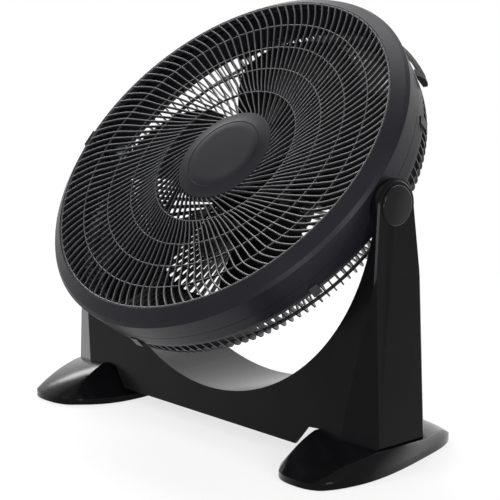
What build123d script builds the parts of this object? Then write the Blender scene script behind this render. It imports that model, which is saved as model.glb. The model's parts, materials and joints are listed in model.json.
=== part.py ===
"""Floor-standing air circulator: a round fan head that tilts in a bow-shaped stand.

The head looks towards -Y and up, the stand's feet rest on Z = 0, and the origin
lies on the floor straight below the tilt axis. Lengths are in millimetres.
"""

from build123d import *
from math import atan, cos, degrees, hypot, radians, sin, tan
import os

# ---------------------------------------------------------------- driving sizes
# placing of the head
pivot_height = 316.5            # tilt axis above the floor
rest_tilt = 45.35               # how far the fan's axis points up at rest, degrees

# front guard and rings; "h" is the distance ahead of the tilt axis along the fan's axis
lip_radius = 235.0
lip_h = 50.1
lip_land = 2.5                  # flat land of the front ring around the guard
strip_radius = 251.5            # narrow bevel between the front cone and the crease
strip_h = 39.3
crease_radius = 255.0
crease_h = 34.4
seam_radius = 250.3
seam_h = 6.6
drum_rear_radius = 247.5
drum_rear_h = -10.7
ring_wall = 2.5
ring_ledge = 3.9                # shelf that carries the guard's rim
ring_radii = (100.8, 136.8, 170.2, 203.6)
ring_heights = (39.6, 40.9, 42.7, 46.4)
ring_width = 3.0
rim_width = 3.6
rim_depth = 5.4
rib_width = 2.0
rib_depth = 3.5
inner_ribs = 58
outer_ribs = 116
rib_turn = (-13.1, 5.7, 14.35, 18.85, 21.84, 26.5)      # rib angle at hub, rings and rim
rib_turn_mid = (-1.2, 11.0, 16.9, 20.41, 23.9)          # rib angle half-way between them

# badge cap in the middle of the guard
cap_radius = 66.3
cap_edge_h = 39.3
cap_bevel = 6.5
cap_rise = 2.0
badge_radius = 52.0
badge_recess = 0.7
hub_plate_gauge = 2.0

# drum
sleeve_radius = 244.0           # inside of the drum
sleeve_wall = 2.6
sleeve_h = 30.0
boss_radius = 20.0
boss_inner_x = 236.0
boss_outer_x = 253.9

# rear guard
slat_count = 140
slat_gauge = 1.7
slat_front_h = -11.2
slat_front_radius = 246.8
slat_corner_radius = 238.0
slat_corner_h = -40.3
slat_depth = 8.0
slat_rear_depth = 5.5
rear_band_radius = 150.0        # every other slat ends at this ring
rear_hub_radius = 66.0
rear_hub_h = -58.0
rear_plate_gauge = 3.5

# clips, latch and carry handle
clip_angles = (-150, -90, -30, 30, 150)
clip_width = 12.0
clip_gauge = 2.2
clip_front_h = -4.2
clip_rear_h = -20.0
latch_angle = 183.0
latch_length = 22.0
latch_rise = 3.0
handle_start = 51.0
handle_sweep = 78.0
handle_radius = 256.0
handle_gauge = 6.0
handle_front_h = -9.5
handle_rear_h = -28.0
handle_grooves = 27
groove_width = 1.6
groove_depth = 1.2
bracket_angle = 3.0
bracket_front_h = -4.0

# motor
motor_radius = 44.0
motor_wall = 2.5
motor_length = 40.5
shaft_radius = 4.0
bush_radius = 7.0
bush_length = 8.0
stator_inner_radius = 24.0
stator_length = 19.0
winding_length = 5.5
rotor_gap = 0.5
mount_circle = 30.0
screw_radius = 2.0
screw_head_radius = 3.8
screw_head = 2.4

# fan blade
blade_count = 5
blade_hub_radius = 50.0
blade_hub_wall = 2.5
blade_hub_front_h = 16.0
blade_hub_rear_h = -28.0
blade_gauge = 2.4
blade_mid_h = -12.0
blade_turn = 24.7               # where the first blade stands, degrees
# distance from the axis, width of the sheet and its pitch in degrees
blade_stations = ((40.0, 70.0, 35.0), (130.0, 170.0, 21.0), (228.0, 210.0, 9.0))
# radius and angle of points along the blade's edge, from one root corner to the other
blade_edge = (
    (46.0, 23.0), (100.0, 29.0), (142.0, 28.5), (182.0, 25.0), (212.0, 16.0), (222.5, 3.0),
    (213.0, -13.0), (182.0, -23.0), (142.0, -26.0), (100.0, -24.0), (46.0, -21.0),
)
blade_nut_radius = 11.0
blade_nut_length = 9.0

# rear cover and controls
cover_radius = 62.0
cover_depth = 34.0
cover_wall = 2.5
knob_radius = 17.0
knob_height = 15.0
knob_gap = 0.6
switch_size = 28.0
switch_depth = 14.0
switch_stem_radius = 3.0
capacitor_radius = 9.0
capacitor_length = 34.0
gland_radius = 7.0

# pivots
bolt_radius = 6.0
bolt_head_radius = 10.0
bolt_head = 5.0
washer_gauge = 1.2
washer_gap = 0.4
arm_boss_radius = 31.0
arm_boss_wall = 3.5
pocket_radius = 25.0
nut_radius = 9.0
nut_gauge = 3.6
pivot_cap_radius = 24.1
pivot_cap_proud = 3.5
pivot_cap_seat = 0.9

# stand
bow_radius = 261.0              # top surface of the bow, about the tilt axis
bow_wall = 3.5
bow_floor_z = 20.0
bow_floor_half = 161.0
bow_step_x = 180.0
bow_step_z = 44.5
arm_top_radius = 29.5
arm_lean = 5.7                  # front and back faces lean, degrees from upright
leg_top_x = 266.0
leg_foot_x = 279.0
facet_top = (269.0, -38.0, 230.0)
facet_inner = (232.0, -57.7, 46.0)
facet_outer = (279.0, -39.0, 34.0)
cover_gauge = 2.5
cover_chamfer = 2.0
post_radius = 7.0
post_height = 40.0
post_x = 232.0
post_y = 46.0

# feet (right-hand foot; the left one is its mirror image)
foot_base_z = 1.2
foot_rim_z = 9.0
deck_outer_x = 281.5
deck_outer_z = 33.0
deck_slope = 0.16               # the deck under the leg rises inwards
deck_inner_x = 199.0
# front, inner, back and outer side, each from its ridge on; the next side's ridge ends it
rim_sides = (
    ((266.0, -122.0), (231.0, -130.5)),
    ((197.0, -120.0), (174.0, -91.0), (161.5, -16.0), (176.0, 75.0)),
    ((208.0, 133.0), (220.0, 137.0)),
    ((232.0, 134.0), (261.0, 67.0), (282.0, -28.0), (280.5, -88.0)),
)
rim_headings = ((217, 140), (132, 50), (41, -40), (-48, -135))    # at both ends of a side
deck_sides = (
    ((281.5, -41.0), (232.0, -60.5)),
    ((199.0, -63.5), (199.0, -30.0), (199.0, 0.0), (199.0, 30.0)),
    ((199.0, 63.5), (232.0, 60.5)),
    ((281.5, 41.0), (281.5, 20.0), (281.5, -5.0), (281.5, -25.0)),
)
crown_in = 0.43                 # the roof's crown: it has gone this far in
crown_up = 0.57                 # when it has risen this far
foot_wall = 3.0
boss_drop = 9.0                  # the screw bosses reach this far below the deck
pad_radius = 8.5
pad_gauge = 2.0
pad_places = ((232.0, -104.0), (222.0, 108.0))

# clearances
fit = 0.05                      # running fit between a shaft and its bore
seat_gap = 0.3                  # between pieces that are joined by clips or screws

# ---------------------------------------------------------------- places and helpers
fan_dir = Vector(0, -cos(radians(rest_tilt)), sin(radians(rest_tilt)))
pivot = Vector(0, 0, pivot_height)
fan_axis = Axis(pivot, fan_dir)


def head_plane(h):
    """Plane across the fan's axis, h ahead of the tilt axis and facing forwards."""
    return Plane(origin=pivot + fan_dir * h, x_dir=(1, 0, 0), z_dir=fan_dir)


def section_plane(angle=0):
    """Plane through the fan's axis: local x is the radius and local y is h."""
    across = Vector(1, 0, 0).rotate(Axis((0, 0, 0), fan_dir), angle)
    return Plane(origin=pivot, x_dir=across, z_dir=across.cross(fan_dir))


def polar(radius, angle):
    """Point at a radius and an angle in degrees."""
    return (radius * cos(radians(angle)), radius * sin(radians(angle)))


def turned(points, angle=0, arc=360):
    """Solid of revolution about the fan's axis from (radius, h) points."""
    with BuildPart() as solid:
        with BuildSketch(section_plane(angle)):
            with BuildLine():
                Polyline(*points, close=True)
            make_face()
        revolve(axis=fan_axis, revolution_arc=arc)
    return solid.part


def rib_gap(inner_r, outer_r, angles, pitch):
    """Opening between two neighbouring curved ribs, from one ring to the next."""
    start, middle, end = angles
    mid_r = (inner_r + outer_r) / 2
    half = {r: degrees(rib_width / 2 / r) for r in (inner_r, mid_r, outer_r)}
    with BuildSketch(mode=Mode.PRIVATE) as gap:
        with BuildLine():
            near = ThreePointArc(
                polar(inner_r, start + half[inner_r]),
                polar(mid_r, middle + half[mid_r]),
                polar(outer_r, end + half[outer_r]),
            )
            far = ThreePointArc(
                polar(inner_r, start + pitch - half[inner_r]),
                polar(mid_r, middle + pitch - half[mid_r]),
                polar(outer_r, end + pitch - half[outer_r]),
            )
            ThreePointArc(near @ 1, polar(outer_r, end + pitch / 2), far @ 1)
            ThreePointArc(far @ 0, polar(inner_r, start + pitch / 2), near @ 0)
        make_face()
    return gap.sketch


os.makedirs("parts", exist_ok=True)


def finish(builder, label):
    """Name a finished piece and write its file."""
    builder.part.label = label
    export_step(builder.part, f"parts/{label}.step")


# ---------------------------------------------------------------- front ring
across_axis = Plane(origin=pivot, x_dir=(0, 1, 0), z_dir=(1, 0, 0))     # faces +X
front_outline = [
    (lip_radius + seat_gap, lip_h),
    (lip_radius + lip_land, lip_h),
    (strip_radius, strip_h),
    (crease_radius, crease_h),
    (seam_radius, seam_h),
    (seam_radius - ring_wall, seam_h),
    (crease_radius - ring_wall, crease_h - 0.5),
    (strip_radius - ring_wall, strip_h - ring_wall / 2),
    (lip_radius + ring_wall, lip_h - rim_depth - ring_wall),
    (lip_radius - ring_ledge, lip_h - rim_depth - ring_wall),
    (lip_radius - ring_ledge, lip_h - rim_depth),
    (lip_radius + seat_gap, lip_h - rim_depth),
]

with BuildPart() as front_ring:
    add(turned(front_outline))
    with BuildSketch(across_axis):
        Circle(boss_radius + seat_gap)
    extrude(amount=2 * crease_radius, both=True, mode=Mode.SUBTRACT)
finish(front_ring, "front_ring")

# ---------------------------------------------------------------- front guard
band_radii = (cap_radius + seat_gap,) + ring_radii + (lip_radius,)
band_heights = (cap_edge_h,) + ring_heights + (lip_h,)
rib_counts = (inner_ribs,) + (outer_ribs,) * len(ring_radii)
band_tops = [(low + high) / 2 for low, high in zip(band_heights, band_heights[1:])]
plate_top_h = cap_edge_h - rib_depth + 1.2

with BuildPart() as front_grille:
    for i, count in enumerate(rib_counts):
        inner_end = band_radii[i] + (ring_width / 2 if i else 0)
        outer_end = band_radii[i + 1] - (ring_width / 2 if i < len(ring_radii) else rim_width)
        angles = (rib_turn[i], rib_turn_mid[i], rib_turn[i + 1])
        with BuildSketch(head_plane(band_tops[i] - rib_depth)):
            Circle(outer_end + ring_width / 2)
            Circle(inner_end - (ring_width / 2 if i else 0), mode=Mode.SUBTRACT)
            with PolarLocations(0, count):
                add(rib_gap(inner_end, outer_end, angles, 360 / count), mode=Mode.SUBTRACT)
        extrude(amount=rib_depth)
    # hoops that join neighbouring bands at their different heights
    for i, radius in enumerate(ring_radii):
        with BuildSketch(head_plane(band_tops[i] - rib_depth)):
            Circle(radius + ring_width * 0.35)
            Circle(radius - ring_width * 0.35, mode=Mode.SUBTRACT)
        extrude(amount=band_tops[i + 1] - band_tops[i] + rib_depth)
    with BuildSketch(head_plane(lip_h - rim_depth)):
        Circle(lip_radius)
        Circle(lip_radius - rim_width + 0.4, mode=Mode.SUBTRACT)
    extrude(amount=rim_depth)
    with BuildSketch(head_plane(plate_top_h)):
        Circle(cap_radius + 2)
    extrude(amount=-hub_plate_gauge)
finish(front_grille, "front_grille")

# ---------------------------------------------------------------- badge cap
with BuildPart() as centre_cap:
    cap_top_h = cap_edge_h + cap_rise
    add(turned([
        (0, plate_top_h),
        (cap_radius, plate_top_h),
        (cap_radius, cap_edge_h),
        (cap_radius - cap_bevel, cap_top_h),
        (badge_radius, cap_top_h),
        (badge_radius - badge_recess, cap_top_h - badge_recess),
        (0, cap_top_h - badge_recess),
    ]))
finish(centre_cap, "centre_cap")

# ---------------------------------------------------------------- drum
with BuildPart() as housing_drum:
    add(turned([
        (sleeve_radius, drum_rear_h),
        (drum_rear_radius, drum_rear_h),
        (seam_radius, seam_h - seat_gap),
        (sleeve_radius + sleeve_wall, seam_h - seat_gap),
        (sleeve_radius + sleeve_wall, sleeve_h),
        (sleeve_radius, sleeve_h),
    ]))
    for side in (-1, 1):
        with BuildSketch(across_axis.offset(side * boss_inner_x)):
            Circle(boss_radius)
        extrude(amount=side * (boss_outer_x - boss_inner_x))
    with BuildSketch(across_axis):
        Circle(bolt_radius + fit)
    extrude(amount=crease_radius, both=True, mode=Mode.SUBTRACT)
    for angle in clip_angles:
        with BuildSketch(head_plane(clip_front_h)):
            with Locations(polar(drum_rear_radius + clip_gauge / 2, angle)):
                Rectangle(clip_gauge + 1, clip_width + 2 * seat_gap, rotation=angle)
        extrude(amount=drum_rear_h - clip_front_h - 1, mode=Mode.SUBTRACT)
finish(housing_drum, "housing_drum")

# ---------------------------------------------------------------- clips
with BuildPart() as grille_clips:
    with BuildSketch(head_plane(clip_rear_h)):
        for angle in clip_angles:
            with Locations(polar(drum_rear_radius + clip_gauge / 2, angle)):
                Rectangle(clip_gauge, clip_width, rotation=angle)
    extrude(amount=clip_front_h - clip_rear_h)
    chamfer(grille_clips.faces().sort_by(fan_axis)[:len(clip_angles)].edges(), length=0.8)
finish(grille_clips, "grille_clips")

# ---------------------------------------------------------------- rear guard
def slat(inner_radius):
    """One upright slat in the head's own frame, from the drum's edge inwards."""
    rear_slope = (rear_hub_h - slat_corner_h + 7) / (slat_corner_radius - 11 - rear_hub_radius)
    inner_h = slat_corner_h - 7 + (slat_corner_radius - 11 - inner_radius) * rear_slope
    with BuildPart() as solid:
        with BuildSketch(Plane.XZ):
            with BuildLine():
                side = ThreePointArc(
                    (slat_front_radius, slat_front_h),
                    (slat_front_radius - 2.6, (slat_front_h + slat_corner_h) / 2),
                    (slat_corner_radius, slat_corner_h),
                )
                corner = ThreePointArc(
                    side @ 1,
                    (slat_corner_radius - 4, slat_corner_h - 5),
                    (slat_corner_radius - 11, slat_corner_h - 7),
                )
                Polyline(
                    corner @ 1,
                    (inner_radius, inner_h),
                    (inner_radius, inner_h + slat_rear_depth),
                    (slat_corner_radius - 13, slat_corner_h - 7 + slat_rear_depth),
                    (slat_corner_radius - slat_depth + 1, slat_corner_h + 8),
                    (slat_front_radius - slat_depth, slat_front_h),
                    side @ 0,
                )
            make_face()
        extrude(amount=slat_gauge / 2, both=True)
    return solid.part


def hoop(radius, width, low_h, high_h):
    """Flat ring about the fan's axis."""
    with BuildPart() as solid:
        with BuildSketch(head_plane(low_h)):
            Circle(radius + width)
            Circle(radius, mode=Mode.SUBTRACT)
        extrude(amount=high_h - low_h)
    return solid.part


with BuildPart() as rear_grille:
    half_count = slat_count // 2
    with Locations(head_plane(0)):
        with PolarLocations(0, half_count):
            add(slat(rear_hub_radius - 3))
        with PolarLocations(0, half_count, start_angle=180 / half_count):
            add(slat(rear_band_radius + 1))
    # rim under the drum, rod inside the slats, band and mounting plate
    rim_gauge = 3.6
    add(hoop(slat_front_radius - rim_gauge - 0.4, rim_gauge, slat_front_h - 4, slat_front_h + 0.4))
    add(hoop(slat_front_radius - 9.2, 3, slat_corner_h + 7, slat_corner_h + 10))
    add(hoop(rear_band_radius, 3, rear_hub_h + 4, rear_hub_h + 9))
    add(hoop(shaft_radius + 2, rear_hub_radius - shaft_radius, rear_hub_h,
             rear_hub_h + rear_plate_gauge))
    with BuildSketch(head_plane(rear_hub_h - 1)):
        with PolarLocations(mount_circle, 4, start_angle=45):
            Circle(screw_radius + fit)
    extrude(amount=rear_plate_gauge + 2, mode=Mode.SUBTRACT)
    with BuildSketch(across_axis):
        Circle(boss_radius + seat_gap)
    extrude(amount=crease_radius, both=True, mode=Mode.SUBTRACT)
finish(rear_grille, "rear_grille")

# ---------------------------------------------------------------- carry handle
grip_inner = handle_radius - handle_gauge
handle_outline = [
    (grip_inner, handle_front_h),
    (handle_radius - 3, handle_front_h),
    (handle_radius, handle_front_h - 6),
    (handle_radius, handle_rear_h + 5),
    (handle_radius - 2.5, handle_rear_h),
    (grip_inner, handle_rear_h),
]
drum_slope = (seam_radius - drum_rear_radius) / (seam_h - drum_rear_h)
bracket_inner = drum_rear_radius + seat_gap
bracket_outline = [
    (bracket_inner, drum_rear_h),
    (bracket_inner + drum_slope * (bracket_front_h - drum_rear_h), bracket_front_h),
    (grip_inner, bracket_front_h),
    (handle_radius - 3, handle_front_h),
    (handle_radius - 0.5, handle_front_h - 6),
    (handle_radius - 0.5, handle_rear_h + 5),
    (handle_radius - 3, handle_rear_h + 0.5),
    (bracket_inner, handle_rear_h + 3),
]
with BuildPart() as carry_handle:
    add(turned(handle_outline, handle_start, handle_sweep))
    groove_pitch = handle_sweep / handle_grooves
    for i in range(handle_grooves - 1):
        angle = handle_start + (i + 1) * groove_pitch
        half = degrees(groove_width / 2 / handle_radius)
        cut = [
            (handle_radius - groove_depth, handle_front_h + 1),
            (handle_radius + 1, handle_front_h + 1),
            (handle_radius + 1, handle_rear_h - 1),
            (handle_radius - groove_depth, handle_rear_h - 1),
        ]
        add(turned(cut, angle - half, 2 * half), mode=Mode.SUBTRACT)
    for angle in (handle_start - bracket_angle, handle_start + handle_sweep):
        add(turned(bracket_outline, angle, bracket_angle))
finish(carry_handle, "carry_handle")

# ---------------------------------------------------------------- guard latch
latch_r = (strip_radius + crease_radius) / 2
latch_span = degrees(latch_length / latch_r)
with BuildPart() as guard_latch:
    add(turned([
        (crease_radius, crease_h),
        (crease_radius + latch_rise - 1, crease_h + 1.5),
        (strip_radius + latch_rise, strip_h + 1.5),
        (strip_radius, strip_h),
    ], latch_angle - latch_span / 2, latch_span))
    fillet(guard_latch.edges().group_by(fan_axis)[-1], radius=1.0)
finish(guard_latch, "guard_latch")

# ---------------------------------------------------------------- motor
motor_rear_h = rear_hub_h + rear_plate_gauge
motor_front_h = motor_rear_h + motor_length
motor_split_h = motor_rear_h + motor_length / 2
bore = shaft_radius + fit
inside_r = motor_radius - motor_wall
with BuildPart() as motor_rear_shell:
    add(turned([
        (bush_radius, motor_rear_h),
        (motor_radius, motor_rear_h),
        (motor_radius, motor_split_h),
        (inside_r, motor_split_h),
        (inside_r, motor_rear_h + motor_wall),
        (bush_radius + 3, motor_rear_h + motor_wall),
        (bush_radius + 3, motor_rear_h + bush_length),
        (bush_radius, motor_rear_h + bush_length),
    ]))
    with BuildSketch(head_plane(motor_rear_h - 1)):
        with PolarLocations(mount_circle, 4, start_angle=45):
            Circle(screw_radius)
    extrude(amount=motor_wall + 2, mode=Mode.SUBTRACT)
    with BuildSketch(head_plane(motor_rear_h - 1)):
        with PolarLocations(mount_circle - 12, 8):
            SlotOverall(9, 3, rotation=90)
    extrude(amount=motor_wall + 2, mode=Mode.SUBTRACT)
finish(motor_rear_shell, "motor_rear_shell")

with BuildPart() as motor_front_shell:
    add(turned([
        (bush_radius, motor_front_h),
        (inside_r, motor_front_h),
        (motor_radius, motor_front_h - motor_wall),
        (motor_radius, motor_split_h),
        (inside_r, motor_split_h),
        (inside_r, motor_front_h - motor_wall),
        (bush_radius + 3, motor_front_h - motor_wall),
        (bush_radius + 3, motor_front_h - bush_length),
        (bush_radius, motor_front_h - bush_length),
    ]))
    with BuildSketch(head_plane(motor_front_h - motor_wall - 1)):
        with PolarLocations(mount_circle, 10):
            SlotOverall(12, 3.5)
    extrude(amount=motor_wall + 2, mode=Mode.SUBTRACT)
finish(motor_front_shell, "motor_front_shell")

stator_rear_h = motor_split_h - stator_length / 2
stator_front_h = motor_split_h + stator_length / 2
with BuildPart() as motor_stator:
    with BuildSketch(head_plane(stator_rear_h)):
        Circle(inside_r)
        Circle(stator_inner_radius, mode=Mode.SUBTRACT)
        with PolarLocations(stator_inner_radius + 5, 16):
            Rectangle(7, 3, mode=Mode.SUBTRACT)
    extrude(amount=stator_length)
finish(motor_stator, "motor_stator")

winding_outer = inside_r - 4
winding_inner = stator_inner_radius + 2
with BuildPart() as stator_winding:
    for h in (stator_rear_h - winding_length, stator_front_h):
        with BuildSketch(head_plane(h)):
            Circle(winding_outer)
            Circle(winding_inner, mode=Mode.SUBTRACT)
        extrude(amount=winding_length)
    far_faces = stator_winding.faces().sort_by(fan_axis)
    fillet([far_faces[0].edges(), far_faces[-1].edges()], radius=2)
finish(stator_winding, "stator_winding")

rotor_radius = stator_inner_radius - rotor_gap
with BuildPart() as motor_rotor:
    with BuildSketch(head_plane(stator_rear_h - 1)):
        Circle(rotor_radius)
        Circle(shaft_radius, mode=Mode.SUBTRACT)
    extrude(amount=stator_length + 2)
finish(motor_rotor, "motor_rotor")

shaft_rear_h = motor_rear_h - 1
nut_rear_h = blade_hub_front_h + seat_gap
shaft_front_h = nut_rear_h + blade_nut_length - 2
with BuildPart() as motor_shaft:
    with BuildSketch(head_plane(shaft_rear_h)):
        Circle(shaft_radius)
    extrude(amount=shaft_front_h - shaft_rear_h)
    chamfer(motor_shaft.faces().sort_by(fan_axis)[-1].edges(), length=0.6)
finish(motor_shaft, "motor_shaft")

for bush_h, label in (
    (motor_rear_h, "rear_bush"),
    (motor_front_h - bush_length, "front_bush"),
):
    with BuildPart() as bush:
        with BuildSketch(head_plane(bush_h)):
            Circle(bush_radius)
            Circle(bore, mode=Mode.SUBTRACT)
        extrude(amount=bush_length)
    finish(bush, label)

screw_seat_h = rear_hub_h
with BuildPart() as motor_screws:
    with BuildSketch(head_plane(screw_seat_h)):
        with PolarLocations(mount_circle, 4, start_angle=45):
            Circle(screw_radius)
    extrude(amount=rear_plate_gauge + motor_wall)
    with BuildSketch(head_plane(screw_seat_h - screw_head)):
        with PolarLocations(mount_circle, 4, start_angle=45):
            Circle(screw_head_radius)
    extrude(amount=screw_head)
finish(motor_screws, "motor_screws")

# ---------------------------------------------------------------- fan blade
def blade_section(x, chord, pitch):
    """Cross-section of one blade at a distance x from the axis."""
    across = Vector(0, 1, 0).rotate(Axis.X, pitch)
    plane = head_plane(blade_mid_h)
    centre = plane.from_local_coords(Vector(x, 0, 0))
    x_dir = plane.from_local_coords(Vector(x, 0, 0) + across) - centre
    normal = plane.from_local_coords(Vector(x + 1, 0, 0)) - centre
    with BuildSketch(Plane(origin=centre, x_dir=x_dir, z_dir=normal)) as section:
        Rectangle(chord, blade_gauge)
    return section.sketch


with BuildPart() as one_blade:
    loft([blade_section(*station) for station in blade_stations])
    with BuildSketch(head_plane(blade_mid_h)):
        with BuildLine():
            edge = Spline(*[polar(radius, angle) for radius, angle in blade_edge])
            Line(edge @ 1, edge @ 0)
        make_face()
        Circle(blade_hub_radius - blade_hub_wall / 2, mode=Mode.SUBTRACT)
    extrude(amount=blade_stations[1][1], both=True, mode=Mode.INTERSECT)

with BuildPart() as fan_blade:
    hub_inner = blade_hub_radius - blade_hub_wall
    hub_wall_h = blade_hub_front_h - blade_hub_wall
    add(turned([
        (shaft_radius, blade_hub_front_h),
        (blade_hub_radius - 5, blade_hub_front_h),
        (blade_hub_radius, blade_hub_front_h - 6),
        (blade_hub_radius, blade_hub_rear_h),
        (hub_inner, blade_hub_rear_h),
        (hub_inner, hub_wall_h - 4),
        (hub_inner - 3, hub_wall_h),
        (12, hub_wall_h),
        (12, motor_front_h + 6),
        (shaft_radius, motor_front_h + 6),
    ]))
    for i in range(blade_count):
        add(one_blade.part.rotate(fan_axis, 360 / blade_count * i + blade_turn))
finish(fan_blade, "fan_blade")

with BuildPart() as blade_nut:
    with BuildSketch(head_plane(nut_rear_h)):
        Circle(blade_nut_radius)
        with PolarLocations(blade_nut_radius + 1.2, 8):
            Circle(2.6, mode=Mode.SUBTRACT)
        Circle(shaft_radius, mode=Mode.SUBTRACT)
    extrude(amount=blade_nut_length - 2)
    with BuildSketch(head_plane(nut_rear_h + blade_nut_length - 2)):
        Circle(blade_nut_radius - 2.5)
    extrude(amount=2)
finish(blade_nut, "blade_nut")

# ---------------------------------------------------------------- rear cover and controls
cover_back_h = rear_hub_h - seat_gap - cover_depth
inner_back_h = cover_back_h + cover_wall
with BuildPart() as motor_rear_cover:
    add(turned([
        (0, cover_back_h),
        (cover_radius - 9, cover_back_h),
        (cover_radius - 2, cover_back_h + 7),
        (cover_radius, rear_hub_h - seat_gap),
        (cover_radius - cover_wall, rear_hub_h - seat_gap),
        (cover_radius - cover_wall - 2, cover_back_h + 8.5),
        (cover_radius - 10, inner_back_h),
        (0, inner_back_h),
    ]))
    with BuildSketch(head_plane(cover_back_h - 1)):
        Circle(switch_stem_radius + seat_gap)
        with PolarLocations(cover_radius - 20, 24):
            SlotOverall(14, 2.6)
        with PolarLocations(mount_circle - 3, 2):
            Circle(screw_radius + fit)
    extrude(amount=cover_wall + 2, mode=Mode.SUBTRACT)
    # posts that stand on the mounting plate and take the cover's screws
    with BuildSketch(head_plane(inner_back_h)):
        with PolarLocations(mount_circle - 3, 2):
            Circle(screw_radius + 2)
            Circle(screw_radius + fit, mode=Mode.SUBTRACT)
    extrude(amount=rear_hub_h - seat_gap - inner_back_h)
    gland_h = rear_hub_h - cover_depth / 2
    gland_plane = Plane(origin=pivot + fan_dir * gland_h, x_dir=(1, 0, 0),
                        z_dir=section_plane(-90).x_dir)
    with BuildSketch(gland_plane.offset(cover_radius - 8)):
        Circle(gland_radius - 2 + fit)
    extrude(amount=20, mode=Mode.SUBTRACT)
finish(motor_rear_cover, "motor_rear_cover")

with BuildPart() as cover_screws:
    with BuildSketch(head_plane(cover_back_h)):
        with PolarLocations(mount_circle - 3, 2):
            Circle(screw_radius)
    extrude(amount=cover_depth)
    with BuildSketch(head_plane(cover_back_h - screw_head)):
        with PolarLocations(mount_circle - 3, 2):
            Circle(screw_head_radius)
    extrude(amount=screw_head)
finish(cover_screws, "cover_screws")

with BuildPart() as cord_gland:
    with BuildSketch(gland_plane.offset(cover_radius - 7)):
        Circle(gland_radius - 2)
    extrude(amount=8.5)
    with BuildSketch(gland_plane.offset(cover_radius + 0.5)):
        RegularPolygon(gland_radius, 6)
    extrude(amount=5)
    with BuildSketch(gland_plane.offset(cover_radius - 8)):
        Circle(gland_radius - 4)
    extrude(amount=20, mode=Mode.SUBTRACT)
finish(cord_gland, "cord_gland")

with BuildPart() as speed_switch:
    with BuildSketch(head_plane(inner_back_h)):
        RectangleRounded(switch_size, switch_size, 2)
    extrude(amount=switch_depth)
    with BuildSketch(head_plane(inner_back_h)):
        Circle(switch_stem_radius + seat_gap)
    extrude(amount=switch_depth - 3, mode=Mode.SUBTRACT)
finish(speed_switch, "speed_switch")

knob_front_h = cover_back_h - knob_gap
with BuildPart() as speed_knob:
    with BuildSketch(head_plane(knob_front_h)):
        Circle(knob_radius)
    extrude(amount=-knob_height * 0.35)
    with BuildSketch(head_plane(knob_front_h)):
        with PolarLocations(knob_radius, 18):
            Circle(1.0)
    extrude(amount=-knob_height * 0.35, mode=Mode.SUBTRACT)
    with BuildSketch(head_plane(knob_front_h)):
        RectangleRounded(2 * knob_radius - 6, 8, 3, rotation=90)
    extrude(amount=-knob_height)
    with BuildSketch(head_plane(knob_front_h)):
        Circle(switch_stem_radius)
    extrude(amount=cover_wall + knob_gap + switch_depth - 5)
    chamfer(speed_knob.faces().sort_by(fan_axis)[0].edges(), length=0.8)
finish(speed_knob, "speed_knob")

with BuildPart() as run_capacitor:
    capacitor_plane = Plane(
        origin=head_plane(inner_back_h + capacitor_radius + fit).from_local_coords(
            Vector(-capacitor_length / 2, -switch_size / 2 - capacitor_radius - 3, 0)),
        x_dir=fan_dir, z_dir=(1, 0, 0))
    with BuildSketch(capacitor_plane):
        Circle(capacitor_radius)
    extrude(amount=capacitor_length)
    fillet(run_capacitor.edges(), radius=1.2)
finish(run_capacitor, "run_capacitor")

# ---------------------------------------------------------------- pivots
def both_sides(label, builder):
    """Write the right-hand piece and its mirror image on the left."""
    finish(builder, "right_" + label)
    with BuildPart() as left:
        mirror(builder.part, about=Plane.YZ)
    finish(left, "left_" + label)


arm_face_x = boss_outer_x + washer_gauge + washer_gap
pocket_x = arm_face_x + arm_boss_wall
nut_x = pocket_x + washer_gap

with BuildPart() as pivot_bolt:
    with BuildSketch(across_axis.offset(boss_inner_x)):
        Circle(bolt_radius)
    extrude(amount=nut_x + nut_gauge - boss_inner_x)
    with BuildSketch(across_axis.offset(boss_inner_x)):
        Circle(bolt_head_radius)
        RegularPolygon(bolt_head_radius * 0.4, 6, mode=Mode.SUBTRACT)
    extrude(amount=-bolt_head)
both_sides("pivot_bolt", pivot_bolt)

with BuildPart() as friction_washer:
    with BuildSketch(across_axis.offset(boss_outer_x)):
        Circle(boss_radius)
        Circle(bolt_radius + fit, mode=Mode.SUBTRACT)
    extrude(amount=washer_gauge)
both_sides("friction_washer", friction_washer)

with BuildPart() as pivot_nut:
    with BuildSketch(across_axis.offset(nut_x)):
        RegularPolygon(nut_radius, 6)
        Circle(bolt_radius, mode=Mode.SUBTRACT)
    extrude(amount=nut_gauge)
both_sides("pivot_nut", pivot_nut)

# ---------------------------------------------------------------- stand
def deck_z(x):
    """Height of the tilted deck that a leg stands on."""
    return deck_outer_z + (deck_outer_x - x) * deck_slope


leg_splay = degrees(atan((leg_foot_x - leg_top_x) / (pivot_height - deck_z(leg_foot_x))))
upright = Plane(origin=pivot, x_dir=(1, 0, 0), z_dir=(0, -1, 0))       # faces -Y, local z up
outer_face = Plane(
    origin=(leg_top_x, 0, pivot_height),
    x_dir=(0, 1, 0),
    z_dir=(cos(radians(leg_splay)), 0, sin(radians(leg_splay))),
)
arm_reach = 400                                                        # beyond every face
a, b, c = Vector(*facet_top), Vector(*facet_inner), Vector(*facet_outer)
facet_face = Plane(origin=a, x_dir=b - a, z_dir=(c - a).cross(b - a))
if facet_face.z_dir.Y > 0:
    facet_face = -facet_face


def arm_outline(inset):
    """Side view of the arms: round tops on faces that lean outwards to the floor."""
    radius = arm_top_radius - inset
    lean = radians(arm_lean)
    top = (radius * cos(lean), radius * sin(lean))
    low_z = -pivot_height - 50
    low = (top[0] + (top[1] - low_z) * tan(lean), low_z)
    with BuildSketch(across_axis.offset(-arm_reach)) as outline:
        with BuildLine():
            Line((-low[0], low[1]), (-top[0], top[1]))
            ThreePointArc((-top[0], top[1]), (0, radius), top)
            Line(top, low)
            Line(low, (-low[0], low[1]))
        make_face()
    return outline.sketch


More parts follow.
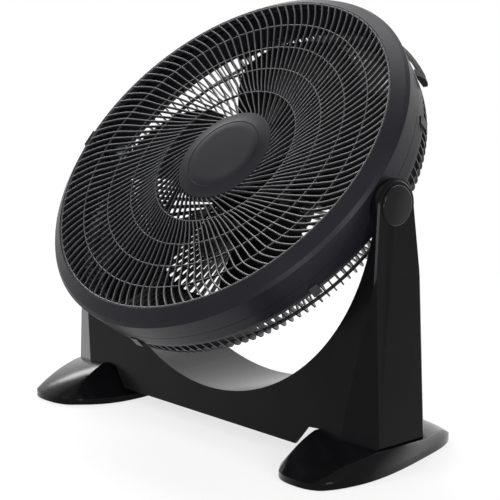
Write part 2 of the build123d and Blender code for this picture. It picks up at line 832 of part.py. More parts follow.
def bow_form(inset):
    """Bow and arms as one block; an inset one is open below and outwards."""
    if inset:
        side = [(leg_foot_x + arm_reach, 0), (leg_foot_x + arm_reach, -pivot_height)]
    else:
        side = [
            (leg_top_x - 50 * tan(radians(leg_splay)), 50),
            (leg_foot_x, deck_z(leg_foot_x) - pivot_height),
            (deck_inner_x, deck_z(deck_inner_x) - pivot_height),
            (bow_step_x, bow_step_z - pivot_height),
            (bow_floor_half, bow_floor_z - pivot_height),
        ]
    with BuildPart() as form:
        with BuildSketch(upright):
            with BuildLine():
                Polyline(*side, *[(-x, z) for x, z in reversed(side)], close=True)
            make_face()
            Circle(bow_radius + inset, mode=Mode.SUBTRACT)
        extrude(amount=arm_reach, both=True)
        extrude(arm_outline(inset), amount=2 * arm_reach, mode=Mode.INTERSECT)
        for about in (None, Plane.YZ):
            for second in (None, Plane.XZ):
                face = facet_face.offset(-inset)
                origin, normal = face.origin, face.z_dir
                if about:
                    origin = Vector(-origin.X, origin.Y, origin.Z)
                    normal = Vector(-normal.X, normal.Y, normal.Z)
                if second:
                    origin = Vector(origin.X, -origin.Y, origin.Z)
                    normal = Vector(normal.X, -normal.Y, normal.Z)
                split(bisect_by=Plane(origin=origin, z_dir=normal), keep=Keep.BOTTOM)
    return form.part


cover_seat = outer_face.offset(-cover_gauge)
left_cover_seat = Plane(
    origin=(-cover_seat.origin.X, 0, cover_seat.origin.Z),
    z_dir=(-cover_seat.z_dir.X, 0, cover_seat.z_dir.Z),
)
whole_bow = bow_form(0)

post_places = [(x, y) for x in (-post_x, post_x) for y in (-post_y, post_y)]

with BuildPart() as bow_posts:
    with BuildSketch(Plane.XY):
        with Locations(*post_places):
            Circle(post_radius)
    extrude(amount=deck_z(post_x) + post_height)
    add(whole_bow, mode=Mode.INTERSECT)

with BuildPart() as stand_bow:
    add(whole_bow)
    add(bow_form(bow_wall), mode=Mode.SUBTRACT)
    add(bow_posts.part)
    with BuildSketch(Plane.XY):
        with Locations(*post_places):
            Circle(screw_radius + fit)
    extrude(amount=deck_z(post_x) + post_height - 4, mode=Mode.SUBTRACT)
    for side in (-1, 1):
        with BuildSketch(across_axis.offset(side * arm_face_x)):
            Circle(arm_boss_radius)
        extrude(amount=side * (leg_top_x - arm_face_x))
    split(bisect_by=cover_seat, keep=Keep.BOTTOM)
    split(bisect_by=left_cover_seat, keep=Keep.BOTTOM)
    for side in (-1, 1):
        with BuildSketch(across_axis.offset(side * pocket_x)):
            Circle(pocket_radius)
        extrude(amount=side * 20, mode=Mode.SUBTRACT)
    with BuildSketch(across_axis):
        Circle(bolt_radius + fit)
    extrude(amount=arm_reach, both=True, mode=Mode.SUBTRACT)
finish(stand_bow, "stand_bow")

with BuildPart() as leg_cover:
    add(whole_bow)
    split(bisect_by=cover_seat, keep=Keep.TOP)
    outer_edges = leg_cover.faces().filter_by(outer_face).sort_by(Axis.X)[-1].edges()
    chamfer(outer_edges, length=cover_chamfer)
    with BuildSketch(across_axis.offset(leg_top_x - pivot_cap_seat)):
        Circle(pivot_cap_radius + fit)
    extrude(amount=10, mode=Mode.SUBTRACT)
both_sides("leg_cover", leg_cover)

with BuildPart() as pivot_cap:
    with BuildSketch(across_axis.offset(leg_top_x - pivot_cap_seat)):
        Circle(pivot_cap_radius)
    extrude(amount=pivot_cap_seat + pivot_cap_proud)
    fillet(pivot_cap.faces().sort_by(Axis.X)[-1].edges(), radius=1.6)
both_sides("pivot_cap", pivot_cap)

# ---------------------------------------------------------------- feet
def moved_in(point, inset):
    """Point of the foot's outline, moved towards the foot's middle on both axes."""
    x, y = point
    return (x - inset if x >= post_x else x + inset, y - inset if y > 0 else y + inset)


def foot_section(lift, run, inset):
    """Outline of the foot at a share of its rise from rim to deck and of its way inwards."""
    slope = deck_slope * lift
    height = foot_rim_z + (deck_outer_z - foot_rim_z) * lift - inset
    level = Plane(origin=(deck_outer_x, 0, height), x_dir=(1, 0, -slope), z_dir=(slope, 0, 1))
    sides = []
    for rim_side, deck_side in zip(rim_sides, deck_sides):
        side = []
        for low, high in zip(rim_side, deck_side):
            low, high = moved_in(low, inset), moved_in(high, inset)
            x = low[0] + (high[0] - low[0]) * run - deck_outer_x
            side.append((x * hypot(1, slope), low[1] + (high[1] - low[1]) * run))
        sides.append(side)
    with BuildSketch(level) as outline:
        with BuildLine():
            for k, side in enumerate(sides):
                ends = [polar(1, heading) for heading in rim_headings[k]] if run == 0 else ()
                Spline(*side, sides[(k + 1) % 4][0], tangents=ends)
        make_face()
    return outline.sketch


def foot_form(inset):
    """Rim with a crowned roof that rises to the deck; inset, it is the hollow inside."""
    rim = foot_section(0, 0, inset)
    with BuildPart() as form:
        loft([rim, foot_section(crown_up, crown_in, inset), foot_section(1, 1, inset)])
        extrude(rim, amount=-(foot_rim_z - foot_base_z))
    return form.part


whole_foot = foot_form(0)
boss_z = deck_z(post_x) - boss_drop

with BuildPart() as foot_bosses:
    with BuildSketch(Plane.XY.offset(pad_gauge)):
        with Locations(*pad_places):
            Circle(pad_radius)
    extrude(amount=deck_outer_z)
    with BuildSketch(Plane.XY.offset(boss_z)):
        with Locations((post_x, -post_y), (post_x, post_y)):
            Circle(post_radius)
    extrude(amount=deck_outer_z)
    add(whole_foot, mode=Mode.INTERSECT)

with BuildPart() as foot:
    add(whole_foot)
    add(foot_form(foot_wall), mode=Mode.SUBTRACT)
    add(foot_bosses.part)
    with BuildSketch(Plane.XY.offset(boss_z - 1)):
        with Locations((post_x, -post_y), (post_x, post_y)):
            Circle(screw_radius + fit)
    extrude(amount=deck_outer_z, mode=Mode.SUBTRACT)
both_sides("foot", foot)

with BuildPart() as foot_pads:
    with BuildSketch(Plane.XY):
        for side in (-1, 1):
            for x, y in pad_places:
                with Locations((side * x, y)):
                    Circle(pad_radius)
    extrude(amount=pad_gauge)
    fillet(foot_pads.edges().group_by(Axis.Z)[0], radius=0.5)
finish(foot_pads, "foot_pads")

with BuildPart() as foot_screws:
    with BuildSketch(Plane.XY.offset(boss_z)):
        with Locations(*post_places):
            Circle(screw_radius)
    extrude(amount=post_height)
    with BuildSketch(Plane.XY.offset(boss_z)):
        with Locations(*post_places):
            Circle(screw_head_radius)
    extrude(amount=-screw_head)
finish(foot_screws, "foot_screws")
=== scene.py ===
import json
import math

import bmesh
import bpy
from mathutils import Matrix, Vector


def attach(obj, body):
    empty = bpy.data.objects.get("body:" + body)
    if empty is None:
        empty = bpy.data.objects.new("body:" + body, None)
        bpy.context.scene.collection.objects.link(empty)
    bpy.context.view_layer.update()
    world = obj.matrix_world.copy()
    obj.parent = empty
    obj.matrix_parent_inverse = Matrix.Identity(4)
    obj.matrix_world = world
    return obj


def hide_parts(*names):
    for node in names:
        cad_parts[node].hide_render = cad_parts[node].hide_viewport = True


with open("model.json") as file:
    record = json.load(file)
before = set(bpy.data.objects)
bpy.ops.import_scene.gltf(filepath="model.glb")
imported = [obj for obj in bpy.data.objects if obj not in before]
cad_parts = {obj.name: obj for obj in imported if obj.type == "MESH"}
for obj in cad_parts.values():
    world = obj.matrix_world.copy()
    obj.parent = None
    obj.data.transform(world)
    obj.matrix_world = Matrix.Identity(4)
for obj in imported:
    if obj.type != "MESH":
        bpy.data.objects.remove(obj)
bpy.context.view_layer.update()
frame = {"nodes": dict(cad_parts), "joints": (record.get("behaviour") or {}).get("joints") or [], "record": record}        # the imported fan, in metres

joints = {joint["name"]: joint for joint in frame["joints"]}
pivotPoint = Vector(joints["head_tilt"]["pos_m"])
fanDir = Vector(joints["fan_spin"]["axis"]).normalized()     # the way the fan blows
acrossDir = Vector((1, 0, 0))
upDir = fanDir.cross(acrossDir)
mm = 0.001
slotOfNode = {part["node"]: part["material_slot"] for part in frame["record"]["subparts"]}
bodyOfNode = {node: body for body, members in frame["record"]["behaviour"]["bodies"].items()
              for node in members}


def headPoint(radius, angle, ahead):
    # a point of the head from its radius, angle in degrees and distance ahead of the tilt axis, in mm
    turn = math.radians(angle)
    side = acrossDir * math.cos(turn) + upDir * math.sin(turn)
    return pivotPoint + (side * radius + fanDir * ahead) * mm


# materials

def toLinear(hexColour):
    # sRGB hex to the linear values that a shader socket takes
    parts = [int(hexColour[i:i + 2], 16) / 255 for i in (1, 3, 5)]
    return [c / 12.92 if c <= 0.04045 else ((c + 0.055) / 1.055) ** 2.4 for c in parts] + [1.0]


def addNode(tree, kind, values=None, links=None, **settings):
    # one node with its settings, socket values and incoming links
    node = tree.nodes.new(kind)
    for key, value in settings.items():
        setattr(node, key, value)
    for key, value in (values or {}).items():
        node.inputs[key].default_value = value
    for key, source in (links or {}).items():
        tree.links.new(source, node.inputs[key])
    return node


surface = {
    "tintStops": (0.35, 0.65), "driftDetail": 3.0, "grainDetail": 2.0,
    "reliefShare": 0.25,              # height of the grain as a share of its width
    "facing": (0.3, 0.9),             # Layer Weight values between which the sheen changes
    "sheen": (0.5, 0.5),              # mirror share head-on and at a grazing angle, 0.5 being plain
}


def grainedMaterial(name, look):
    # one surface: a slow drift of colour and gloss over a fine relief, sizes in mm. Moulded and ground
    # grain is about 0.1 mm on the real fan, too fine to show, so it is drawn at 0.4 to 1.2 mm
    material = bpy.data.materials.new(name)
    material.use_nodes = True
    tree = material.node_tree
    tree.nodes.clear()
    place = addNode(tree, "ShaderNodeTexCoord").outputs["Object"]
    drift = addNode(tree, "ShaderNodeTexNoise",
                    {"Scale": 1 / (look["driftMm"] * mm), "Detail": surface["driftDetail"]},
                    {"Vector": place})
    tint = addNode(tree, "ShaderNodeValToRGB", links={"Fac": drift.outputs["Fac"]})
    shades = (look["colour"], look["driftColour"])
    for stop, position, shade in zip(tint.color_ramp.elements, surface["tintStops"], shades):
        stop.position = position
        stop.color = toLinear(shade)
    gloss = addNode(tree, "ShaderNodeMapRange",
                    {"To Min": look["roughness"] - look["glossDrift"],
                     "To Max": look["roughness"] + look["glossDrift"]},
                    {"Value": drift.outputs["Fac"]})
    stretch = addNode(tree, "ShaderNodeMapping", {"Scale": look.get("stretch", (1, 1, 1))},
                      {"Vector": place})
    grain = addNode(tree, "ShaderNodeTexNoise",
                    {"Scale": 1 / (look["grainMm"] * mm), "Detail": surface["grainDetail"]},
                    {"Vector": stretch.outputs["Vector"]})
    relief = addNode(tree, "ShaderNodeBump",
                     {"Strength": look["relief"], "Distance": look["grainMm"] * mm * surface["reliefShare"]},
                     {"Height": grain.outputs["Fac"]})
    facing = addNode(tree, "ShaderNodeLayerWeight", {"Blend": 0.5})
    headOn, grazing = look.get("sheen", surface["sheen"])
    sheen = addNode(tree, "ShaderNodeMapRange",
                    {"From Min": surface["facing"][0], "From Max": surface["facing"][1],
                     "To Min": headOn, "To Max": grazing},
                    {"Value": facing.outputs["Facing"]})
    shader = addNode(tree, "ShaderNodeBsdfPrincipled",
                     {"Metallic": look.get("metallic", 0.0), "IOR": look.get("ior", 1.5)},
                     {"Base Color": tint.outputs["Color"], "Roughness": gloss.outputs["Result"],
                      "Specular IOR Level": sheen.outputs["Result"], "Normal": relief.outputs["Normal"]})
    addNode(tree, "ShaderNodeOutputMaterial", links={"Surface": shader.outputs["BSDF"]})
    return material


# Moulded ABS with a spark-eroded grain: violet black with a low, even sheen.
mouldedAbsShell = grainedMaterial("mouldedAbsShell", {
    "colour": "#16151a", "driftColour": "#1a191f", "driftMm": 60, "roughness": 0.36, "glossDrift": 0.03,
    "grainMm": 0.8, "relief": 0.10, "ior": 1.52, "sheen": (0.12, 0.12)})
# The same ABS in the badge cap, a shade greyer and flatter.
mouldedAbsCap = grainedMaterial("mouldedAbsCap", {
    "colour": "#1d1c20", "driftColour": "#212024", "driftMm": 45, "roughness": 0.42, "glossDrift": 0.03,
    "grainMm": 0.7, "relief": 0.12, "ior": 1.52, "sheen": (0.04, 0.06)})
# Polished ABS of the pivot caps: near black with clear highlights at the rolled edge.
polishedAbsCap = grainedMaterial("polishedAbsCap", {
    "colour": "#0c0c0e", "driftColour": "#101012", "driftMm": 30, "roughness": 0.12, "glossDrift": 0.02,
    "grainMm": 1.2, "relief": 0.02, "ior": 1.52, "sheen": (0.12, 0.8)})
# Moulded ABS of the stand, polished a little more: long clean gradients on the flat faces.
mouldedAbsStand = grainedMaterial("mouldedAbsStand", {
    "colour": "#0a0a0b", "driftColour": "#0d0d0f", "driftMm": 90, "roughness": 0.2, "glossDrift": 0.02,
    "grainMm": 0.8, "relief": 0.04, "ior": 1.52, "sheen": (0.06, 0.5)})
# Moulded polypropylene of the guards: dull black, with grey light along each rib's crown.
mouldedPolypropylene = grainedMaterial("mouldedPolypropylene", {
    "colour": "#18181b", "driftColour": "#1c1c20", "driftMm": 25, "roughness": 0.34, "glossDrift": 0.04,
    "grainMm": 0.9, "relief": 0.10, "ior": 1.49, "sheen": (0.42, 0.55)})
# Moulded polypropylene of the blade: darker, and smooth from a polished tool.
smoothPolypropylene = grainedMaterial("smoothPolypropylene", {
    "colour": "#030304", "driftColour": "#050506", "driftMm": 70, "roughness": 0.5, "glossDrift": 0.04,
    "grainMm": 1.2, "relief": 0.05, "ior": 1.49, "sheen": (0.03, 0.06)})
# Textured polypropylene of the grip: nearly no sheen, a deeper grain.
texturedGrip = grainedMaterial("texturedGrip", {
    "colour": "#0e0e0f", "driftColour": "#121213", "driftMm": 20, "roughness": 0.5, "glossDrift": 0.05,
    "grainMm": 0.6, "relief": 0.3, "ior": 1.49, "sheen": (0.15, 0.4)})
# Vulcanised rubber: chalky black.
mouldedRubber = grainedMaterial("mouldedRubber", {
    "colour": "#1c1c1b", "driftColour": "#242422", "driftMm": 8, "roughness": 0.8, "glossDrift": 0.05,
    "grainMm": 0.5, "relief": 0.4, "ior": 1.52})
# Deep-drawn steel with grey stove enamel: faint orange peel.
enamelledSteel = grainedMaterial("enamelledSteel", {
    "colour": "#5d5f62", "driftColour": "#66686b", "driftMm": 30, "roughness": 0.4, "glossDrift": 0.05,
    "grainMm": 2.5, "relief": 0.15, "ior": 1.5})
# Stacked electrical steel, blued in annealing: fine lines across the axis.
stackedLaminations = grainedMaterial("stackedLaminations", {
    "colour": "#54565a", "driftColour": "#62605c", "driftMm": 12, "roughness": 0.45, "glossDrift": 0.08,
    "grainMm": 0.9, "relief": 0.5, "metallic": 0.9, "stretch": (1, 6, 6)})
# Enamelled copper wire in a varnished bundle: strands show as fine ridges.
enamelledCopper = grainedMaterial("enamelledCopper", {
    "colour": "#9a4d22", "driftColour": "#b3642f", "driftMm": 6, "roughness": 0.3, "glossDrift": 0.08,
    "grainMm": 1.0, "relief": 0.6, "metallic": 0.8, "stretch": (5, 1, 1)})
# Ground steel shaft: bright, with faint turning marks.
groundSteel = grainedMaterial("groundSteel", {
    "colour": "#b9babc", "driftColour": "#c4c5c7", "driftMm": 15, "roughness": 0.22, "glossDrift": 0.05,
    "grainMm": 0.5, "relief": 0.15, "metallic": 1.0, "stretch": (1, 8, 8)})
# Sintered bronze: matt gold-brown with open pores.
sinteredBronze = grainedMaterial("sinteredBronze", {
    "colour": "#8c6a35", "driftColour": "#9b7840", "driftMm": 4, "roughness": 0.5, "glossDrift": 0.06,
    "grainMm": 0.4, "relief": 0.5, "metallic": 1.0})
# Zinc-plated steel: cool grey with a slight cloudiness.
zincPlatedSteel = grainedMaterial("zincPlatedSteel", {
    "colour": "#a3a6ab", "driftColour": "#b3b5b6", "driftMm": 5, "roughness": 0.32, "glossDrift": 0.08,
    "grainMm": 0.6, "relief": 0.15, "metallic": 1.0})
# Natural nylon: milky and waxy.
mouldedNylon = grainedMaterial("mouldedNylon", {
    "colour": "#c9c6ba", "driftColour": "#d2cfc4", "driftMm": 10, "roughness": 0.42, "glossDrift": 0.04,
    "grainMm": 0.8, "relief": 0.1, "ior": 1.53})
# Thermoset housing of the switch and capacitor: off-white with a soft shine.
mouldedThermoset = grainedMaterial("mouldedThermoset", {
    "colour": "#c2c0b6", "driftColour": "#cbc9c0", "driftMm": 12, "roughness": 0.35, "glossDrift": 0.04,
    "grainMm": 0.8, "relief": 0.1, "ior": 1.55})
print("materials made")

slotMaterials = {
    "guard_plastic": mouldedPolypropylene, "shell_plastic": mouldedAbsShell, "cap_plastic": mouldedAbsCap,
    "handle_plastic": texturedGrip, "blade_plastic": smoothPolypropylene, "stand_plastic": mouldedAbsStand,
    "pad_rubber": mouldedRubber, "motor_shell_steel": enamelledSteel, "lamination_steel": stackedLaminations,
    "winding_copper": enamelledCopper, "shaft_steel": groundSteel, "bush_bronze": sinteredBronze,
    "fastener_steel": zincPlatedSteel, "washer_nylon": mouldedNylon, "switch_plastic": mouldedThermoset,
}
for node, item in frame["nodes"].items():
    item.data.materials.clear()
    item.data.materials.append(slotMaterials[slotOfNode[node]])


# mesh tools

def camelName(node):
    first, *rest = node.split("_")
    return first + "".join(word.title() for word in rest)


def steps(start, end, count):
    return [start + (end - start) * i / count for i in range(count + 1)]


def smoothByAngle(mesh, degrees):
    mesh.polygons.foreach_set("use_smooth", [True] * len(mesh.polygons))
    mesh.set_sharp_from_angle(angle=math.radians(degrees))
    mesh.update()


def placePiece(mesh, node, material=None):
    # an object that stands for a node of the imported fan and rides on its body
    piece = bpy.data.objects.new(mesh.name, mesh)
    bpy.context.scene.collection.objects.link(piece)
    mesh.materials.append(material or slotMaterials[slotOfNode[node]])
    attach(piece, bodyOfNode[node])
    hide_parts(node)
    return piece


def newMesh(name, points, faces, smoothDeg):
    mesh = bpy.data.meshes.new(name)
    mesh.from_pydata([tuple(point) for point in points], [], faces)
    shaper = bmesh.new()
    shaper.from_mesh(mesh)
    bmesh.ops.recalc_face_normals(shaper, faces=shaper.faces)
    shaper.to_mesh(mesh)
    shaper.free()
    smoothByAngle(mesh, smoothDeg)
    return mesh


def addRows(points, faces, rows, closed, capped):
    # skins a run of equal rows of points, each row a closed outline
    first, width = len(points), len(rows[0])
    for row in rows:
        points.extend(row)
    for i in range(len(rows) if closed else len(rows) - 1):
        near, far = first + i * width, first + (i + 1) % len(rows) * width
        for j in range(width):
            k = (j + 1) % width
            faces.append((near + j, near + k, far + k, far + j))
    if capped:
        faces.append(tuple(range(first, first + width)))
        faces.append(tuple(range(first + (len(rows) - 1) * width, first + len(rows) * width)))


def addSpun(points, faces, outline, count):
    # closed (radius, ahead) outline turned all the way round the fan's axis
    rows = [[headPoint(radius, 360 * i / count, ahead) for radius, ahead in outline] for i in range(count)]
    addRows(points, faces, rows, True, False)


def addDisc(points, faces, outline, count, place=headPoint):
    # open (radius, height) outline from the axis round to the axis again, turned into a closed disc
    inside = [row for row in outline if row[0] > 0]
    first, width = len(points), len(inside)
    for i in range(count):
        points.extend(place(radius, 360 * i / count, height) for radius, height in inside)
    for i in range(count):
        near, far = first + i * width, first + (i + 1) % count * width
        for j in range(width - 1):
            faces.append((near + j, near + j + 1, far + j + 1, far + j))
    for end, row in ((0, outline[0]), (width - 1, outline[-1])):
        points.append(place(0, 0, row[1]))
        for i in range(count):
            faces.append((first + i * width + end, first + (i + 1) % count * width + end, len(points) - 1))


def alongTable(table, x):
    # smooth curve through the (x, value) rows of a table
    last = len(table) - 1
    k = max(0, min(last - 1, sum(1 for row in table if row[0] <= x) - 1))
    slopes = []
    for i in (k, k + 1):
        before, after = table[max(i - 1, 0)], table[min(i + 1, last)]
        slopes.append((after[1] - before[1]) / (after[0] - before[0]))
    span = table[k + 1][0] - table[k][0]
    rise = table[k + 1][1] - table[k][1]
    t = (x - table[k][0]) / span
    return (table[k][1] + t * span * slopes[0] + t * t * (3 * rise - (2 * slopes[0] + slopes[1]) * span)
            + t ** 3 * ((slopes[0] + slopes[1]) * span - 2 * rise))


# front guard: ribs that swirl out in a shallow dome, four hoops under them, a rim and a plate

guard = {
    # (radius, degrees turned) and (radius, ahead of the tilt axis) along the first rib, in mm
    "turn": ((66.3, -13.1), (77, -4.95), (85, -0.5), (97, 4.34), (111, 9.14), (123, 11.91), (137, 14.4),
             (155, 17.07), (170, 18.85), (187, 20.41), (204, 21.84), (220, 24.0), (237, 26.8)),
    "height": ((66.3, 39.3), (100.8, 39.6), (136.8, 40.9), (170.2, 42.7), (203.6, 46.4), (237, 50.35)),
    "ribs": 116, "inner": 65.5, "ribEnd": 236.2, "stations": 40,
    "ribDepth": 3.6, "ribWidthInner": 1.5, "ribWidthOuter": 2.3, "ribCrown": 0.7,
    "rimInner": 234.0, "rimOuter": 236.4, "rimDrop": 0.5, "rimDepth": 5.4, "rimCrown": 0.5,
    "hoops": (100.8, 136.8, 170.2, 203.6),
    "hoopWidth": 1.5, "hoopDrop": 0.5, "hoopDepth": 3.0, "hoopCrown": 0.5,
    "plateRadius": 68.3, "plateTop": 37.0, "plateGauge": 2.0,
    "crownSteps": 6, "round": 288, "plateRound": 72, "smoothDeg": 40,
}


def crownedBar(width, depth, crown, count):
    # outline of a bar with a rounded top at height 0, as (across, up) pairs
    top = [(width / 2 * math.cos(turn), crown * (math.sin(turn) - 1)) for turn in steps(0, math.pi, count)]
    return [(width / 2, -depth)] + top + [(-width / 2, -depth)]


def ribRows(look, inner, turn):
    # one rib's sections from the inner radius out to the rim
    rows = []
    for radius in steps(inner, look["ribEnd"], look["stations"]):
        angle = math.radians(turn + alongTable(look["turn"], radius))
        ahead = alongTable(look["height"], radius)
        twist = math.radians(alongTable(look["turn"], radius + 0.5) - alongTable(look["turn"], radius - 0.5))
        lean = math.atan(radius * twist)     # how far the rib leaves the radius line here
        share = (radius - look["inner"]) / (look["ribEnd"] - look["inner"])
        width = look["ribWidthInner"] + (look["ribWidthOuter"] - look["ribWidthInner"]) * share
        side = Vector((-math.sin(angle + lean), math.cos(angle + lean)))
        middle = Vector((radius * math.cos(angle), radius * math.sin(angle)))
        row = []
        for across, up in crownedBar(width, look["ribDepth"], look["ribCrown"], look["crownSteps"]):
            spot = middle + side * across
            row.append(pivotPoint + (acrossDir * spot.x + upDir * spot.y + fanDir * (ahead + up)) * mm)
        rows.append(row)
    return rows


def makeGuard(look):
    points, faces = [], []
    for i in range(look["ribs"]):
        inner = look["inner"] if i % 2 == 0 else look["hoops"][0]     # every other rib starts at a hoop
        addRows(points, faces, ribRows(look, inner, 360 * i / look["ribs"]), False, True)
    for radius in look["hoops"]:
        top = alongTable(look["height"], radius) - look["hoopDrop"]
        bar = crownedBar(look["hoopWidth"], look["hoopDepth"], look["hoopCrown"], look["crownSteps"])
        addSpun(points, faces, [(radius + across, top + up) for across, up in bar], look["round"])
    middle, width = (look["rimInner"] + look["rimOuter"]) / 2, look["rimOuter"] - look["rimInner"]
    top = look["height"][-1][1] - look["rimDrop"]
    bar = crownedBar(width, look["rimDepth"] - look["rimDrop"], look["rimCrown"], look["crownSteps"])
    addSpun(points, faces, [(middle + across, top + up) for across, up in bar], look["round"])
    radius, top = look["plateRadius"], look["plateTop"]
    under = top - look["plateGauge"]
    addDisc(points, faces, [(0, under), (radius, under), (radius, top), (0, top)], look["plateRound"])
    placePiece(newMesh("guardRibs", points, faces, look["smoothDeg"]), "front_grille")


makeGuard(guard)
print("front guard made")

# badge cap: a cone up to a flat disc with a fine groove between them, the badge place bare

capForm = {
    "radius": 66.3, "under": 37.05, "underInset": 0.4, "edge": 38.6, "edgeDrop": 0.2,
    "lip": 1.0, "lipSteps": 4, "coneInner": 50.6, "rise": 3.8, "dish": 0.35, "coneSteps": 8,
    "groove": 0.55, "grooveWidth": 1.6, "grooveSteps": 8,
    "discInner": 47.6, "shoulder": 1.2, "discRise": 0.5, "shoulderShare": 0.7, "discSteps": 6,
    "round": 180, "smoothDeg": 32,
}


def makeCap(look):
    radius, edge, lip = look["radius"], look["edge"], look["lip"]
    coneInner = look["coneInner"]
    outline = [(0, look["under"]), (radius - look["underInset"], look["under"]),
               (radius, edge - look["edgeDrop"])]
    for turn in steps(0, math.pi / 2, look["lipSteps"]):
        outline.append((radius - lip * (1 - math.cos(turn)), edge + lip * math.sin(turn)))
    coneOuter, base, top = radius - lip, edge + lip, edge + look["rise"]
    for share in steps(0, 1, look["coneSteps"])[1:]:
        dish = look["dish"] * math.sin(math.pi * share)
        outline.append((coneOuter + (coneInner - coneOuter) * share, base + (top - base) * share - dish))
    for share in steps(0, 1, look["grooveSteps"])[1:-1]:
        depth = look["groove"] * math.sin(math.pi * share)
        outline.append((coneInner - look["grooveWidth"] * share, top - depth))
    disc, level = look["discInner"] - look["shoulder"], look["shoulderShare"]
    outline += [(look["discInner"], top), (disc, top + look["discRise"] * level)]
    for share in steps(0, 1, look["discSteps"])[1:-1]:
        crown = level + (1 - level) * math.sin(math.pi / 2 * share)
        outline.append((disc * (1 - share), top + look["discRise"] * crown))
    outline.append((0, top + look["discRise"]))
    points, faces = [], []
    addDisc(points, faces, outline, look["round"])
    placePiece(newMesh("badgeCap", points, faces, look["smoothDeg"]), "centre_cap")


makeCap(capForm)
print("cap made")

# pivot caps: a low dome with a rolled edge, glossier than the badge cap

pivotForm = {"edge": 2.4, "crown": 1.0, "chamfer": 0.5, "edgeSteps": 8, "crownSteps": 8, "round": 96,
             "smoothDeg": 40}


def makePivotCap(look, node, side):
    packed = frame["nodes"][node]
    low, high = (packed.matrix_world @ Vector(packed.bound_box[i]) for i in (0, 6))     # opposite corners
    middle, radius = (low + high) / 2, (high.z - low.z) / 2 / mm
    inner, outer = sorted((abs(low.x) / mm, abs(high.x) / mm))
    edge, crown = look["edge"], look["crown"]
    rim, flat = outer - crown - edge, radius - edge
    outline = [(0, inner), (radius - look["chamfer"], inner), (radius, inner + look["chamfer"])]
    for turn in steps(0, math.pi / 2, look["edgeSteps"]):
        outline.append((radius - edge * (1 - math.cos(turn)), rim + edge * math.sin(turn)))
    for share in steps(0, 1, look["crownSteps"])[1:]:
        outline.append((flat * (1 - share), rim + edge + crown * (1 - (1 - share) ** 2)))

    def capPoint(away, angle, out):
        turn = math.radians(angle)
        return Vector((side * out * mm,
                       middle.y + away * mm * math.cos(turn),
                       middle.z + away * mm * math.sin(turn)))

    points, faces = [], []
    addDisc(points, faces, outline, look["round"], capPoint)
    placePiece(newMesh(camelName(node) + "Dome", points, faces, look["smoothDeg"]), node, polishedAbsCap)


for node, side in (("left_pivot_cap", -1), ("right_pivot_cap", 1)):
    makePivotCap(pivotForm, node, side)
print("pivot caps made")

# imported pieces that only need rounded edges: flatDeg merges flat facets, sharpDeg picks the edges to
# round, and creaseDeg, where given, is the angle from which an edge stays crisp in the shading

softLooks = {
    "front_ring": {"flatDeg": 0.4, "edgeMm": 0.3, "steps": 3, "sharpDeg": 12,
                   "wallFrom": 235.3, "wallTo": 236.6},      # wall moved out to the guard's rim
    "housing_drum": {"flatDeg": 0.05, "edgeMm": 0.5, "steps": 2, "sharpDeg": 25},
    "stand_bow": {"flatDeg": 0.4, "edgeMm": 1.2, "steps": 3, "sharpDeg": 14},
    "left_leg_cover": {"flatDeg": 0.4, "edgeMm": 1.0, "steps": 3, "sharpDeg": 20},
    "right_leg_cover": {"flatDeg": 0.4, "edgeMm": 1.0, "steps": 3, "sharpDeg": 20},
    "left_foot": {"flatDeg": 0.05, "edgeMm": 0.6, "steps": 2, "sharpDeg": 40, "creaseDeg": 12},
    "right_foot": {"flatDeg": 0.05, "edgeMm": 0.6, "steps": 2, "sharpDeg": 40, "creaseDeg": 12},
    "carry_handle": {"flatDeg": 0.4, "edgeMm": 0.4, "steps": 2, "sharpDeg": 25},
    "guard_latch": {"flatDeg": 0.4, "edgeMm": 0.5, "steps": 2, "sharpDeg": 25},
}
softening = {"weldMm": 0.01, "wallSlackMm": 0.2}      # points this near are one, or belong to the wall


def shiftWall(shaper, start, end):
    # moves the points at one radius of the head to another radius, in mm
    for spot in shaper.verts:
        apart = spot.co - pivotPoint
        apart -= fanDir * apart.dot(fanDir)
        if abs(apart.length - start * mm) < softening["wallSlackMm"] * mm:
            spot.co += apart * (end * mm / apart.length - 1)


def softenedNode(node, look):
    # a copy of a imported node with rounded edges, in place of the sharp one
    shaper = bmesh.new()
    shaper.from_mesh(frame["nodes"][node].data)
    bmesh.ops.remove_doubles(shaper, verts=shaper.verts, dist=softening["weldMm"] * mm)
    if "wallFrom" in look:
        shiftWall(shaper, look["wallFrom"], look["wallTo"])
    bmesh.ops.dissolve_limit(shaper, angle_limit=math.radians(look["flatDeg"]),
                             verts=shaper.verts, edges=shaper.edges)
    mesh = bpy.data.meshes.new(camelName(node) + "Soft")
    shaper.to_mesh(mesh)
    shaper.free()
    piece = placePiece(mesh, node)
    rounding = piece.modifiers.new("rounding", "BEVEL")
    rounding.width = look["edgeMm"] * mm
    rounding.segments = look["steps"]
    rounding.limit_method = "ANGLE"
    rounding.angle_limit = math.radians(look["sharpDeg"])
    rounding.harden_normals = True
    rounding.use_clamp_overlap = True
    smoothByAngle(mesh, look.get("creaseDeg", look["sharpDeg"]))


for node, look in softLooks.items():
    softenedNode(node, look)
print("edges rounded")

# camera

camera = {"azimuth": 47.56, "elevation": 12.49, "distance": 2.6774, "target": (0.00891, 0.00699, 0.22141),
          "lens": 154.99, "sensor": 36.0, "near": 0.1, "far": 50}


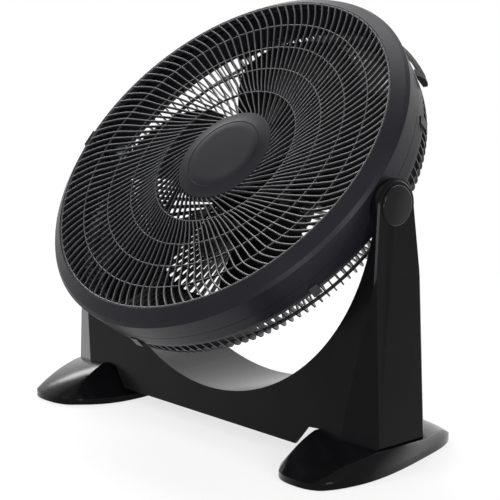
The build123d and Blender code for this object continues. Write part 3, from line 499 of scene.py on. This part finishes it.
def placeCamera(look):
    azimuth, elevation = math.radians(look["azimuth"]), math.radians(look["elevation"])
    outward = Vector((math.sin(azimuth) * math.cos(elevation), -math.cos(azimuth) * math.cos(elevation),
                      math.sin(elevation)))
    viewer = bpy.data.objects.new("viewer", bpy.data.cameras.new("viewer"))
    bpy.context.scene.collection.objects.link(viewer)
    viewer.data.lens, viewer.data.sensor_width = look["lens"], look["sensor"]
    viewer.data.clip_start, viewer.data.clip_end = look["near"], look["far"]
    viewer.location = Vector(look["target"]) + outward * look["distance"]
    viewer.rotation_mode = "QUATERNION"
    viewer.rotation_quaternion = (-outward).to_track_quat("-Z", "Y")
    bpy.context.scene.camera = viewer
    bpy.context.scene.view_settings.view_transform = "Standard"


placeCamera(camera)
print("camera placed")

# light and floor

studio = {
    "worldFill": 0.45, "floorSize": 6.0, "floorColour": "#fbfbfb", "cardShare": 0.25,
    "fadeStart": 0.35, "fadeEnd": 1.0, "aim": (0, 0, 0.25),
    "lamps": (
        {"name": "keyBox", "place": (-0.9, -2.0, 2.0), "size": 1.3, "watts": 24},
        {"name": "topBox", "place": (-0.7, 1.1, 2.6), "size": 1.8, "watts": 28},
        {"name": "backBox", "place": (-1.9, 0.75, 1.75), "size": 1.3, "watts": 44},
        {"name": "frontBox", "place": (1.9, -1.75, 0.4), "size": 0.5, "watts": 12},
        {"name": "sideBox", "place": (1.9, -0.4, 0.85), "size": 0.5, "watts": 14},
    ),
}


def newTree(owner):
    owner.use_nodes = True
    owner.node_tree.nodes.clear()
    return owner.node_tree


def raySeen(tree, kinds):
    # 1 for the given kinds of ray and 0 for the light that falls on the fan
    ray = addNode(tree, "ShaderNodeLightPath")
    seen = ray.outputs[kinds[0]]
    for kind in kinds[1:]:
        either = addNode(tree, "ShaderNodeMath", links={0: seen, 1: ray.outputs[kind]}, operation="MAXIMUM")
        seen = either.outputs[0]
    return seen


def makeWorld(look):
    # plain fill for the object, white for what is seen directly, mirrored or through
    world = bpy.data.worlds.new("studioWorld")
    bpy.context.scene.world = world
    tree = newTree(world)
    seen = raySeen(tree, ("Is Camera Ray", "Is Glossy Ray", "Is Transmission Ray"))
    fill = addNode(tree, "ShaderNodeBackground", {"Color": (1, 1, 1, 1), "Strength": look["worldFill"]})
    white = addNode(tree, "ShaderNodeBackground", {"Color": (1, 1, 1, 1), "Strength": 1.0})
    mixed = addNode(tree, "ShaderNodeMixShader", links={0: seen, 1: fill.outputs[0], 2: white.outputs[0]})
    addNode(tree, "ShaderNodeOutputWorld", links={"Surface": mixed.outputs[0]})


def makeFloor(look):
    # matt white card that keeps the shadow and fades into the white background
    half = look["floorSize"] / 2
    mesh = bpy.data.meshes.new("floor")
    corners = [(-half, -half, 0), (half, -half, 0), (half, half, 0), (-half, half, 0)]
    mesh.from_pydata(corners, [], [(0, 1, 2, 3)])
    floor = bpy.data.objects.new("floor", mesh)
    bpy.context.scene.collection.objects.link(floor)
    card = bpy.data.materials.new("paleCard")
    tree = newTree(card)
    place = addNode(tree, "ShaderNodeTexCoord").outputs["Object"]
    far = addNode(tree, "ShaderNodeVectorMath", links={0: place}, operation="LENGTH")
    fade = addNode(tree, "ShaderNodeMapRange",
                   {"From Min": look["fadeStart"], "From Max": look["fadeEnd"],
                    "To Min": 1 - look["cardShare"], "To Max": 1.0},
                   {"Value": far.outputs["Value"]}, interpolation_type="SMOOTHSTEP")
    seen = raySeen(tree, ("Is Camera Ray", "Is Glossy Ray"))
    share = addNode(tree, "ShaderNodeMath", links={0: fade.outputs["Result"], 1: seen}, operation="MULTIPLY")
    matt = addNode(tree, "ShaderNodeBsdfDiffuse", {"Color": toLinear(look["floorColour"])})
    glow = addNode(tree, "ShaderNodeEmission", {"Color": (1, 1, 1, 1), "Strength": 1.0})
    mixed = addNode(tree, "ShaderNodeMixShader",
                    links={0: share.outputs[0], 1: matt.outputs[0], 2: glow.outputs[0]})
    addNode(tree, "ShaderNodeOutputMaterial", links={"Surface": mixed.outputs[0]})
    mesh.materials.append(card)


def makeLamps(look):
    for lamp in look["lamps"]:
        light = bpy.data.lights.new(lamp["name"], "AREA")
        light.energy, light.size = lamp["watts"], lamp["size"]
        item = bpy.data.objects.new(lamp["name"], light)
        bpy.context.scene.collection.objects.link(item)
        item.location = lamp["place"]
        item.rotation_mode = "QUATERNION"
        item.rotation_quaternion = (Vector(look["aim"]) - item.location).to_track_quat("-Z", "Y")


makeWorld(studio)
makeFloor(studio)
makeLamps(studio)
print("studio lit")
